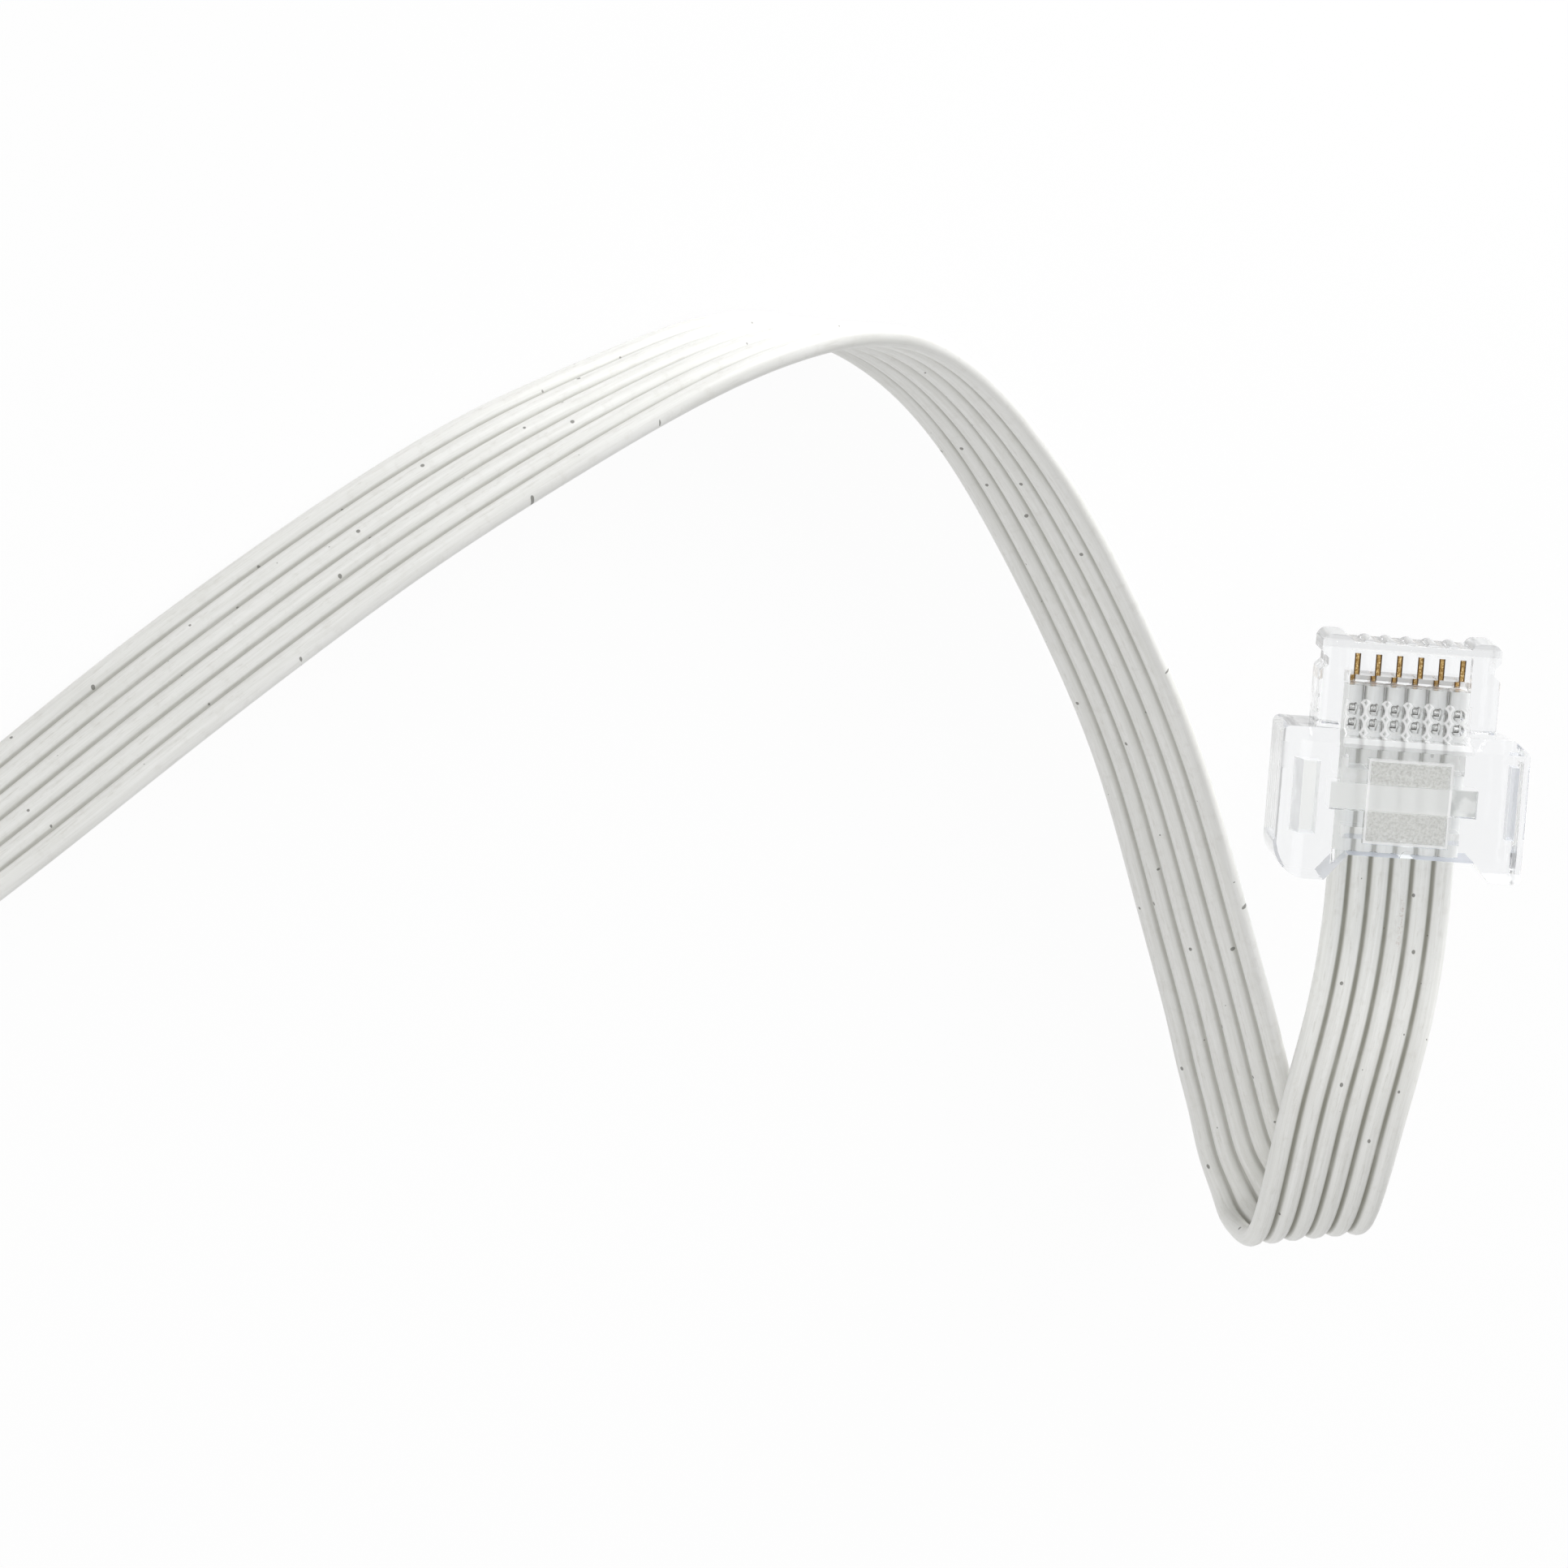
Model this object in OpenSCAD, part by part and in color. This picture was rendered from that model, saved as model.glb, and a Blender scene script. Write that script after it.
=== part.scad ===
// Flat six-conductor patch cable with a clear moulded plug at each end.
// Lengths are in millimetres. +Z is up and the cable lies on Z = 0.
// A plug is drawn in its own frame: X across the ribbon, Y towards the nose, Z towards the contact side,
// with its origin at the middle of the ribbon where that enters the housing.

/* [Ribbon] */
// Diameter of one insulated conductor
rod_d = 1.25; // [1.15:0.01:1.26]
// Distance from one conductor to the next
pitch = 1.27; // [1.27:0.01:1.3]
// Thickness of the web that joins two conductors
web_t = 0.5; // [0.3:0.05:0.7]
// Diameter of the copper core in a conductor
core_d = 0.4; // [0.36:0.02:0.6]

/* [Plug body] */
// Width of the body across its wings
body_w = 14.9; // [14.4:0.1:15.6]
// Length of the body from its rear edge to the shoulder
body_l = 7.4; // [7.2:0.1:8]
// Thickness of the body
body_t = 8; // [7.4:0.1:9]
// Radius of the body's long edges
body_edge_r = 0.5; // [0.3:0.1:1]
// Radius of the one long edge that is rounded more, beside the pocket
round_r = 1.8; // [1.2:0.1:1.9]
// Radius of the shoulder's edges
shoulder_r = 0.5; // [0.2:0.1:0.8]
// Radius of the shoulder corner that has no keying cut
corner_r = 0.5; // [0.3:0.1:1.2]
// Size of the keying cut at the other shoulder corner, at the body's face
key_cut = 0.8; // [0.6:0.1:1.2]
// How much larger that cut is at the body's back
key_flare = 1; // [0:0.1:1.2]
// Length of the skirt on the pocket's side, behind the rear edge
skirt_l = 1.6; // [1.2:0.05:2]
// Radius of its outer corner
skirt_r = 1.9; // [1:0.1:2]
// Length of the other skirt
short_skirt_l = 1.1; // [0.8:0.05:1.6]
// Radius of its outer corner
short_skirt_r = 0.4; // [0.2:0.1:0.8]
// How far the mouth between the skirts lies off the middle
mouth_offset = 0.75; // [0.4:0.05:0.8]
// How much the mouth widens to each side for each millimetre of its depth
mouth_slope = 0.85; // [0.4:0.05:1]
// Depth of the slope along the body's shoulder
slope_drop = 1.1; // [0.6:0.1:1.4]
// Length of that slope
slope_l = 0.75; // [0.5:0.05:1]
// Radius of the notch that the mould's gate leaves in the rear edge
gate_r = 0.45; // [0.3:0.05:0.5]
// Depth of that notch
gate_depth = 0.3; // [0.1:0.05:0.5]
// Distance of that notch from the plug's middle
gate_x = 0.5; // [0:0.1:1]

/* [Nose] */
// Width of the nose
nose_w = 10.9; // [10.6:0.05:11.2]
// Length of the nose in front of the shoulder
nose_l = 5.2; // [5:0.1:6]
// Thickness of the nose
nose_t = 4.8; // [4.4:0.1:5.4]
// Radius of the nose's long edges
nose_edge_r = 0.6; // [0.2:0.1:1]
// Radius of the two locking lugs at the tip
lug_r = 0.65; // [0.5:0.05:0.8]
// Length of the flat on a lug
lug_flat = 0.6; // [0.3:0.1:1]
// How far the lugs stand in front of the tip
lug_rise = 0.4; // [0.2:0.05:0.6]
// How far a lug stays behind the nose's side
lug_inset = 0.05; // [0.02:0.01:0.3]
// Depth of the neck behind a lug
neck_depth = 0.45; // [0.2:0.05:0.7]
// Length of the neck at its floor
neck_l = 0.43; // [0.2:0.01:0.8]
// Length of each slope beside the neck
neck_slope = 0.38; // [0.2:0.02:0.6]
// Radius of the ribs on the tip
rib_r = 0.45; // [0.35:0.05:0.55]
// How far the ribs stand out of the tip
rib_rise = 0.2; // [0.1:0.05:0.25]
// Thickness of the bar that closes the contact window at the tip
tip_bar = 0.45; // [0.3:0.05:0.8]

/* [Contacts] */
// Thickness of a contact blade
blade_t = 0.3; // [0.2:0.02:0.4]
// Length of a contact blade
blade_l = 4.4; // [4.2:0.05:4.4]
// Distance of the blades from the window's front wall
blade_gap = 0.3; // [0.1:0.05:0.35]
// How far the contact edges lie inside the nose's back
edge_sink = 0.3; // [0.2:0.05:0.5]
// Length of the blade's head, which reaches up to the window
head_l = 1.25; // [1:0.05:1.3]
// Width of a piercing tine
tine_w = 0.4; // [0.3:0.05:0.5]
// Distance between the two tines
tine_gap = 0.9; // [0.8:0.05:1]
// How far a tine's point stands out of the conductor
tine_past = 0.1; // [0.05:0.05:0.2]
// Length of a tine's point
tine_point = 0.3; // [0.2:0.05:0.4]

/* [Conductor ends] */
// How far the web reaches into the housing
web_l = 6.4; // [6:0.1:7]
// How far the conductors reach into the housing
wire_l = 10; // [9.6:0.1:10.2]

/* [Windows] */
// Width of the contact window
window_w = 7.3; // [7:0.1:7.8]
// Depth of the window's floor below the nose's face
window_depth = 0.95; // [0.7:0.05:1.1]
// Depth of the recess over the conductors
recess_depth = 0.2; // [0.1:0.05:0.4]
// Distance of the recess's rear wall behind the shoulder
recess_back = 0.4; // [0.2:0.05:0.5]
// Radius of a piercing pit at its floor
pit_floor_r = 0.25; // [0.2:0.05:0.3]
// Radius of a piercing pit at its mouth
pit_mouth_r = 0.5; // [0.4:0.02:0.56]
// Width of the sight slots across the ribbon
sight_w = 7; // [6:0.1:7.4]
// Distance of the front sight slot's far wall from the rear edge
sight_front = 6.4; // [6.2:0.05:6.45]
// Length of the front sight slot
sight_front_l = 1.2; // [0.8:0.1:1.5]
// Distance of the rear sight slot from the rear edge
sight_rear = 1; // [0.9:0.05:1.2]
// Length of the rear sight slot
sight_rear_l = 0.7; // [0.5:0.05:0.9]
// Width of the pocket in one wing
pocket_w = 1; // [0.8:0.1:1.2]
// Distance of the pocket's middle from the plug's middle
pocket_x = 5.65; // [5.4:0.05:5.8]
// Width of the slot in the other wing
wing_slot_w = 0.5; // [0.4:0.05:0.7]
// Distance of that slot's middle from the plug's middle
wing_slot_x = 6.55; // [6:0.05:6.6]
// Length of the pocket and the slot
pocket_l = 4.4; // [3:0.1:4.8]
// Distance of the pocket from the rear edge
pocket_y = 1.1; // [1:0.05:1.5]
// Distance of the slot from the rear edge
wing_slot_y = 1.5; // [1:0.05:1.7]
// Depth of the pocket and the slot
pocket_depth = 2.2; // [1:0.1:3]

/* [Clamp] */
// Width of the clamp's pad
pad_w = 5.1; // [4.8:0.1:5.4]
// Length of the clamp's pad
pad_l = 5.1; // [4.8:0.1:5.2]
// Thickness of the clamp's pad
pad_t = 0.7; // [0.5:0.05:1]
// Distance of the pad from the rear edge
pad_y = 0.75; // [0.6:0.05:0.9]
// How far the pad lies off the middle
pad_offset = 0.3; // [0:0.05:0.5]
// How far the pad's rim lies below the body's face
pad_sink = 0.05; // [0.02:0.01:0.2]
// Width of the rim round the pad
rim_w = 0.15; // [0.1:0.01:0.3]
// Height of the rim round the pad
rim_h = 0.1; // [0.05:0.01:0.2]
// Width of the clamp's bar
bar_w = 8.8; // [8.2:0.1:9]
// Length of the clamp's bar along the ribbon
bar_l = 1.6; // [1:0.1:2]
// Distance of the bar from the rear edge
bar_y = 2.7; // [2.4:0.1:3]
// How far the bar's toes reach below the top of the conductors
toe_depth = 0.3; // [0.1:0.05:0.35]

/* [Coil] */
// Number of turns in the coil
coil_turns = 3; // [1:1:4]
// Radius of the coil at its outer end
coil_r = 43; // [41:0.5:46]
// How far each turn lies inside the one before
coil_step = 3.2; // [2.4:0.1:3.4]

/* [Fits] */
// Clearance round a piece that sits in the housing
fit = 0.03; // [0.01:0.01:0.04]

/* [Hidden] */

$fn = 20;
ways = 6;                                  // conductors in the ribbon
ribbon_w = (ways - 1) * pitch + rod_d;
tip_y = body_l + nose_l;
window_y1 = tip_y - tip_bar;
window_z = nose_t / 2 - window_depth;      // the window's floor
blade_y1 = window_y1 - blade_gap;
blade_y0 = blade_y1 - blade_l;
blade_z0 = edge_sink - nose_t / 2;         // the contact edge
blade_z1 = -rod_d / 2 - fit;               // the blade's upper edge, under the conductor
head_y = blade_y1 - head_l;
tine_y = blade_y0 + tine_w / 2;            // middle of the rear tine
pad_z = body_t / 2 - pad_sink - rim_h;     // the pad's face inside its rim
over = 1;                                  // how far a cut runs past the face it opens
far = 20;                                  // longer than the plug, for a cut beyond a plane

// The route of the free ribbon, from the coil to the near plug: spline points of its middle line.
route = [
    [-33.4, -29.1, 3.8], [-25.8, -23.6, 3.8], [-18.1, -18.2, 3.9], [-10.4, -12.8, 3.7],
    [-2.8, -7.4, 3.6], [4.8, -1.8, 3.5], [12.6, 3.5, 3.5], [20.4, 8.6, 3.6],
    [28.6, 13.3, 3.8], [37.1, 17.1, 3.8], [45.9, 20.7, 3.9], [55.4, 20.9, 3.8],
    [63.9, 16, 3.8], [70.7, 9.8, 3.7], [77.1, 2.7, 3.8], [82.9, -4.6, 3.8],
    [87.8, -12.8, 3.7], [92.2, -20.2, 3.8], [93.9, -23.3, 3.7], [95.3, -25.9, 3.9],
    [96.3, -28.4, 4.3], [98, -30.1, 4.5], [98.2, -31.8, 5.7], [97, -32.5, 8.6],
    [96, -31.5, 10.4], [95.7, -28, 11.2], [96, -24, 11.3], [97.7, -19.2, 10.6],
    [99.7, -14.2, 8.9], [99.6, -8.8, 8.4]];

// Which way the ribbon's upper edge points at each of those.
lean = [
    [0, 0, 1], [0, 0, 1], [0.05, -0.1, 1], [0.2, -0.25, 0.95],
    [0.25, -0.35, 0.9], [0.3, -0.4, 0.9], [0.25, -0.4, 0.9], [0.2, -0.35, 0.9],
    [0.15, -0.35, 0.9], [0.05, -0.15, 1], [0, -0.1, 1], [0.05, 0.3, 0.95],
    [0.15, 0.15, 0.95], [0.2, 0.2, 0.95], [0.2, 0.2, 0.95], [0.2, 0.15, 0.95],
    [0.25, 0.15, 0.95], [0.25, 0.15, 0.95], [0.3, 0.15, 0.95], [0.25, 0.2, 0.95],
    [0.3, 0.25, 0.85], [0.55, 0.3, 0.7], [0.75, 0.3, 0.55], [0.85, 0.25, 0.45],
    [0.9, 0.1, 0.45], [0.85, 0, 0.55], [0.75, -0.05, 0.65], [0.75, 0, 0.65],
    [0.77, 0.09, 0.64], [0.77, 0.09, 0.64]];

// The tail from the coil's inner end to the far plug: X runs on from the coil, Y to its outer side.
// It turns flat and sags a little on its way up to a plug that lies on its back.
tail_route = [
    [0, 0, 0], [3, 0, 0], [6.5, -1.2, 0], [10, -4, 0], [12.5, -8, 0], [13.2, -12.5, 0],
    [12.5, -17.5, 0], [11, -23, -0.3], [9.4, -28.5, -0.9], [7.8, -34, -0.6],
    [6.4, -38, 0], [5.2, -42, 0]];
tail_lean = [
    [0, 0, 1], [0, 0, 1], [0, 0, 1], [0, 0, 1], [0, 0, 1], [0, 0, 1],
    [-0.15, 0, 1], [-0.5, 0.15, 0.85], [-0.8, 0.2, 0.5], [-0.95, 0.3, 0.15],
    [-0.96, 0.29, 0], [-0.96, 0.29, 0]];

run_rings = 79;
tail_rings = 45;
rings_a_turn = 24;
rise_from = 5;     // the point of the tail from which it rises to the plug's height
rise_over = 5;     // how many points that takes
lead_out = 8;      // straight stretch at the coil's outer end
lead_in = 4;       // straight stretch at its inner end

// ---- spline ----
function unit(v) = v / norm(v);
function before(c, i) = i == 0 ? 2 * c[0] - c[1] : c[i - 1];
function after(c, i) = i + 2 > len(c) - 1 ? 2 * c[i + 1] - c[i] : c[i + 2];
function span(c, t) = min(floor(t), len(c) - 2);

function spline_point(c, t) = let(i = span(c, t), f = t - i)
    (pow(1 - f, 3) * before(c, i) + (3 * pow(f, 3) - 6 * f * f + 4) * c[i]
    + (3 * f + 3 * f * f - 3 * pow(f, 3) + 1) * c[i + 1] + pow(f, 3) * after(c, i)) / 6;

function spline_slope(c, t) = let(i = span(c, t), f = t - i)
    (-pow(1 - f, 2) * before(c, i) + (3 * f * f - 4 * f) * c[i]
    + (1 + 2 * f - 3 * f * f) * c[i + 1] + f * f * after(c, i)) / 2;

// A ring's frame: its middle, the way to the ribbon's upper edge, the way through its thickness, its heading.
function frame(p, heading, edge) = let(t = unit(heading), w = unit(edge - (edge * t) * t))
    [p, w, cross(t, w), t];

function spline_frame(c, e, t) = frame(spline_point(c, t), spline_slope(c, t), spline_point(e, t));

function spline_frames(c, e, n) = [for (k = [0:n - 1]) spline_frame(c, e, k * (len(c) - 1) / (n - 1))];

// ---- coil ----
run_start = spline_frame(route, lean, 0);
coil_heading = -run_start[3];                                 // the coil runs on from the route's first point
coil_dir = atan2(coil_heading.y, coil_heading.x);
coil_tilt = atan(coil_step / (2 * PI * coil_r));              // how far a turn heads inwards
coil_from = run_start[0] + lead_out * coil_heading;
coil_angle = coil_dir + 90 + coil_tilt;
coil_middle = coil_from - coil_r * [cos(coil_angle), sin(coil_angle), 0];

function coil_radius(t) = coil_r - coil_step * t;
function coil_point(t) = coil_middle
    + coil_radius(t) * [cos(coil_angle - 360 * t), sin(coil_angle - 360 * t), 0];
function coil_heading_at(t) = let(a = coil_angle - 360 * t, k = coil_step / (2 * PI * coil_radius(t)))
    unit([sin(a) - k * cos(a), -cos(a) - k * sin(a), 0]);

up = [0, 0, 1];
coil_end = coil_point(coil_turns) + lead_in * coil_heading_at(coil_turns);
coil_frames = concat(
    [frame(run_start[0], coil_heading, up)],
    [for (k = [0:rings_a_turn * coil_turns])
        frame(coil_point(k / rings_a_turn), coil_heading_at(k / rings_a_turn), up)],
    [frame(coil_end, coil_heading_at(coil_turns), up)]);

// The least distance between the faces of two turns, measured on their middle points.
coil_gap = min([for (i = [0:len(coil_frames) - 1], j = [i + rings_a_turn / 2:len(coil_frames) - 1])
    norm(coil_frames[i][0] - coil_frames[j][0])]) - rod_d;
echo(least_gap_in_the_coil = coil_gap);

// ---- tail ----
tail_x = coil_heading_at(coil_turns);
tail_y = cross(up, tail_x);
tail_rise = body_t / 2 - run_start[0].z;
function tail_place(p) = p.x * tail_x + p.y * tail_y + p.z * up;
tail_points = [for (k = [0:len(tail_route) - 1]) coil_end + tail_place(tail_route[k])
    + tail_rise * min(1, max(0, (k - rise_from) / rise_over)) * up];
tail_edges = [for (p = tail_lean) tail_place(p)];

// ---- ribbon sections, seen along the ribbon: X to its upper edge, Y through its thickness ----
half_w = ribbon_w / 2;
half_t = rod_d / 2;
edge_t = rod_d / 8;                         // half the flat at its edge, inside the outer rod's round
inner_w = (ways - 1) * pitch / 2;
run_section = [
    [-half_w, -edge_t], [-inner_w, -half_t], [-pitch, -half_t], [pitch, -half_t], [inner_w, -half_t],
    [half_w, -edge_t], [half_w, edge_t], [inner_w, half_t], [pitch, half_t], [-pitch, half_t],
    [-inner_w, half_t], [-half_w, edge_t]];
coil_edge_t = (half_t + edge_t) / 2;
coil_section = [
    [-half_w, -coil_edge_t], [0, -half_t], [half_w, -coil_edge_t],
    [half_w, coil_edge_t], [0, half_t], [-half_w, coil_edge_t]];

// A tube through a list of ring frames, with flat ends.
module sweep(frames, section) {
    n = len(section);
    last = (len(frames) - 1) * n;
    points = [for (f = frames, s = section) f[0] + s.x * f[1] + s.y * f[2]];
    sides = [for (k = [0:len(frames) - 2], j = [0:n - 1], half = [0, 1])
        let(a = k * n + j, b = k * n + (j + 1) % n)
        half == 0 ? [a, a + n, b + n] : [a, b + n, b]];
    ends = [for (j = [1:n - 2], side = [0, 1])
        side == 0 ? [0, j, j + 1] : [last, last + j + 1, last + j]];
    polyhedron(points, concat(sides, ends), convexity = 10);
}

// ---- where the two plugs are ----
near_frame = spline_frame(route, lean, len(route) - 1);
far_frame = spline_frame(tail_points, tail_edges, len(tail_points) - 1);

module placed(f) {
    x = f[1];
    y = f[3];
    z = cross(x, y);
    o = f[0];
    multmatrix([
        [x.x, y.x, z.x, o.x],
        [x.y, y.y, z.y, o.y],
        [x.z, y.z, z.z, o.z],
        [0, 0, 0, 1]]) children();
}

// ---- helpers in the plug's frame ----
module across(w) {
    // draws a profile of (Y, Z) points through a width along X
    rotate([90, 0, 90]) linear_extrude(height = w, center = true) children();
}

module along(y0, y1) {
    // draws a profile of (X, Z) points from y0 to y1
    translate([0, y1, 0]) rotate([90, 0, 0]) linear_extrude(height = y1 - y0) children();
}

module block(x, y, z) {
    translate([x[0], y[0], z[0]]) cube([x[1] - x[0], y[1] - y[0], z[1] - z[0]]);
}

module rounded_square(w, h, r) {
    square([w - 2 * r, h], center = true);
    square([w, h - 2 * r], center = true);
    for (x = [-1, 1], y = [-1, 1]) {
        translate([x * (w / 2 - r), y * (h / 2 - r)]) circle(r);
    }
}

function way_x(i) = (i - (ways + 1) / 2) * pitch;

module at_each_way() {
    for (i = [1:ways]) {
        translate([way_x(i), 0, 0]) children();
    }
}

// ---- housing ----
module ribbon_profile(grow) {
    at_each_way() circle(d = rod_d + 2 * grow);
    square([(ways - 1) * pitch, web_t + 2 * grow], center = true);
}

module body_plan() {
    half = body_w / 2;
    mouth = ribbon_w / 2;
    mouth_l = skirt_l + over;
    difference() {
        union() {
            polygon([
                [-half, body_l - corner_r], [-half, skirt_r - skirt_l], [skirt_r - half, -skirt_l],
                [mouth_offset, -skirt_l], [mouth_offset, body_l], [corner_r - half, body_l]]);
            translate([corner_r - half, body_l - corner_r]) circle(corner_r);
            translate([skirt_r - half, skirt_r - skirt_l]) circle(skirt_r);
            polygon([
                [0, -short_skirt_l], [half - short_skirt_r, -short_skirt_l],
                [half, short_skirt_r - short_skirt_l], [half, body_l], [0, body_l]]);
            translate([half - short_skirt_r, short_skirt_r - short_skirt_l]) circle(short_skirt_r);
        }
        translate([mouth_offset, 0]) polygon([
            [mouth, 0], [-mouth, 0], [-mouth - mouth_slope * mouth_l, -mouth_l],
            [mouth + mouth_slope * mouth_l, -mouth_l]]);
    }
}

module body_side() {
    translate([-skirt_l, -body_t / 2]) square([body_l + skirt_l - shoulder_r, body_t]);
    translate([body_l - 2 * shoulder_r, shoulder_r - body_t / 2])
        square([2 * shoulder_r, body_t - 2 * shoulder_r]);
    for (z = [-1, 1]) {
        translate([body_l - shoulder_r, z * (body_t / 2 - shoulder_r)]) circle(shoulder_r);
    }
}

// The body's section, with one edge rounded more than the others.
module body_section() {
    middle = [round_r - body_w / 2, body_t / 2 - round_r];
    difference() {
        rounded_square(body_w, body_t, body_edge_r);
        difference() {
            translate(middle + [-far, 0]) square(far);
            translate(middle) circle(round_r);
        }
    }
}

module body() {
    difference() {
        intersection() {
            linear_extrude(height = body_t, center = true) body_plan();
            along(-skirt_l, body_l) body_section();
            across(body_w) body_side();
        }
        shoulder_slope();
        keying_cut();
        translate([gate_x, 0, body_t / 2]) cylinder(r = gate_r, h = 2 * gate_depth, center = true);
    }
}

// The slope along the shoulder, from the body's face down towards the nose.
module shoulder_slope() {
    across(body_w + 2 * over) polygon([
        [body_l - slope_l, body_t / 2], [body_l, body_t / 2 - slope_drop],
        [body_l + over, body_t / 2 - slope_drop], [body_l + over, body_t / 2 + over],
        [body_l - slope_l, body_t / 2 + over]]);
}

// A plane across the shoulder's corner that takes more off towards the back.
module keying_cut() {
    tip = atan(key_flare / body_t / sqrt(2));
    translate([body_w / 2 - key_cut, body_l, body_t / 2]) rotate([0, tip, 45])
        translate([0, -far / 2, -far / 2]) cube(far);
}

// A lug: two rounds with a flat between them, inwards from the point where the outer round has its middle.
module lug(side) {
    translate([side * (nose_w / 2 - lug_inset - lug_r), tip_y + lug_rise - lug_r]) {
        circle(lug_r);
        translate([-side * lug_flat, 0]) circle(lug_r);
        translate([-side * lug_flat / 2, 0]) square([lug_flat, 2 * lug_r], center = true);
    }
}

module nose_plan() {
    neck_y = tip_y - lug_r - lug_rise - neck_l / 2;
    difference() {
        union() {
            translate([-nose_w / 2, body_l - over]) square([nose_w, nose_l + over]);
            lug(-1);
            lug(1);
        }
        for (side = [-1, 1]) {
            translate([side * nose_w / 2, 0]) polygon([
                [-side * neck_depth, neck_y - neck_l / 2], [-side * neck_depth, neck_y + neck_l / 2],
                [-side * lug_inset, neck_y + neck_l / 2 + neck_slope], [-side * lug_inset, tip_y + over],
                [side * over, tip_y + over], [side * over, neck_y - neck_l / 2 - neck_slope],
                [0, neck_y - neck_l / 2 - neck_slope]]);
        }
    }
}

module nose() {
    intersection() {
        linear_extrude(height = nose_t, center = true) nose_plan();
        along(body_l - over, tip_y + lug_rise) rounded_square(nose_w, nose_t, nose_edge_r);
    }
    for (i = [1:ways - 1]) {
        translate([way_x(i) + pitch / 2, tip_y + rib_rise - rib_r, 0])
            cylinder(r = rib_r, h = nose_t - 2 * nose_edge_r, center = true);
    }
}

// The slots that the blades are pressed into from the nose's back.
module contact_slots() {
    at_each_way() {
        block([-blade_t / 2 - fit, blade_t / 2 + fit], [blade_y0 - fit, blade_y1 + fit],
            [-nose_t / 2 - over, 0]);
        block([-blade_t / 2 - fit, blade_t / 2 + fit], [head_y - fit, blade_y1 + fit],
            [-nose_t / 2 - over, nose_t / 2]);
    }
}

module tine_slots() {
    at_each_way() for (k = [0, 1]) {
        block([-blade_t / 2 - fit, blade_t / 2 + fit],
            [tine_y + k * tine_gap - tine_w / 2 - fit, tine_y + k * tine_gap + tine_w / 2 + fit],
            [-rod_d, rod_d]);
    }
}

// The recess over the conductors, with a pit over each tine, and the window in front of it.
module contact_window() {
    half = window_w / 2;
    pit_z = rod_d / 2 - tine_past;
    pit_h = nose_t / 2 - pit_z;
    block([-half, half], [body_l - recess_back, window_y1], [nose_t / 2 - recess_depth, body_t]);
    block([-half, half], [head_y - fit, window_y1], [window_z, nose_t]);
    // the well where the conductors are cut off
    block([-half, half], [wire_l + fit, head_y - fit], [-rod_d / 2, nose_t]);
    at_each_way() for (k = [0, 1]) {
        translate([0, tine_y + k * tine_gap, pit_z])
            cylinder(h = pit_h, r1 = pit_floor_r, r2 = pit_mouth_r);
    }
}

module clamp_room() {
    face = body_t / 2;
    // the bar's shaft, open to the face, and the pad's seat
    block([-bar_w / 2 - fit, bar_w / 2 + fit], [bar_y - fit, bar_y + bar_l + fit], [0, face + over]);
    block([pad_offset - pad_w / 2 - fit, pad_offset + pad_w / 2 + fit], [pad_y - fit, pad_y + pad_l + fit],
        [pad_z - pad_t - fit, face + over]);
    // the sight slots in front of the pad and under its rear end
    block([-sight_w / 2, sight_w / 2], [sight_front - sight_front_l, sight_front], [0, face + over]);
    block([-sight_w / 2, sight_w / 2], [sight_rear, sight_rear + sight_rear_l], [0, face + over]);
}

module housing() {
    difference() {
        union() {
            body();
            nose();
        }
        along(-skirt_l - over, wire_l + fit) ribbon_profile(fit);
        contact_slots();
        contact_window();
        clamp_room();
        // the pocket in one wing and the slot in the other
        block([-pocket_x - pocket_w / 2, -pocket_x + pocket_w / 2], [pocket_y, pocket_y + pocket_l],
            [body_t / 2 - pocket_depth, body_t]);
        block([wing_slot_x - wing_slot_w / 2, wing_slot_x + wing_slot_w / 2],
            [wing_slot_y, wing_slot_y + pocket_l], [body_t / 2 - pocket_depth, body_t]);
    }
}

// ---- what sits in the housing ----
module clamp() {
    pad_x = pad_offset - pad_w / 2;
    difference() {
        union() {
            block([pad_x, pad_x + pad_w], [pad_y, pad_y + pad_l], [pad_z - pad_t, pad_z + rim_h]);
            block([-bar_w / 2, bar_w / 2], [bar_y, bar_y + bar_l],
                [rod_d / 2 - toe_depth, pad_z - pad_t / 2]);
        }
        block([pad_x + rim_w, pad_x + pad_w - rim_w], [pad_y + rim_w, pad_y + pad_l - rim_w],
            [pad_z, body_t]);
        along(0, body_l) ribbon_profile(fit);
    }
}

module ribbon_end() {
    difference() {
        union() {
            along(0, web_l) ribbon_profile(0);
            at_each_way() along(web_l - over, wire_l) circle(d = rod_d);
        }
        at_each_way() along(-over, wire_l + over) circle(d = core_d);
        tine_slots();
    }
}

module core(i) {
    translate([way_x(i), 0, 0]) along(0, wire_l) circle(d = core_d);
}

// A tine stands on the blade and comes to a point above its conductor.
module tine(y) {
    tip_z = rod_d / 2 + tine_past;
    polygon([
        [y - tine_w / 2, blade_z1 - tine_w], [y + tine_w / 2, blade_z1 - tine_w],
        [y + tine_w / 2, tip_z - tine_point], [y, tip_z], [y - tine_w / 2, tip_z - tine_point]]);
}

module contact(i) {
    translate([way_x(i), 0, 0]) across(blade_t) {
        translate([blade_y0, blade_z0]) square([blade_l, blade_z1 - blade_z0]);
        translate([head_y, blade_z0]) square([head_l, window_z - fit - blade_z0]);
        for (k = [0, 1]) {
            tine(tine_y + k * tine_gap);
        }
    }
}

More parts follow.
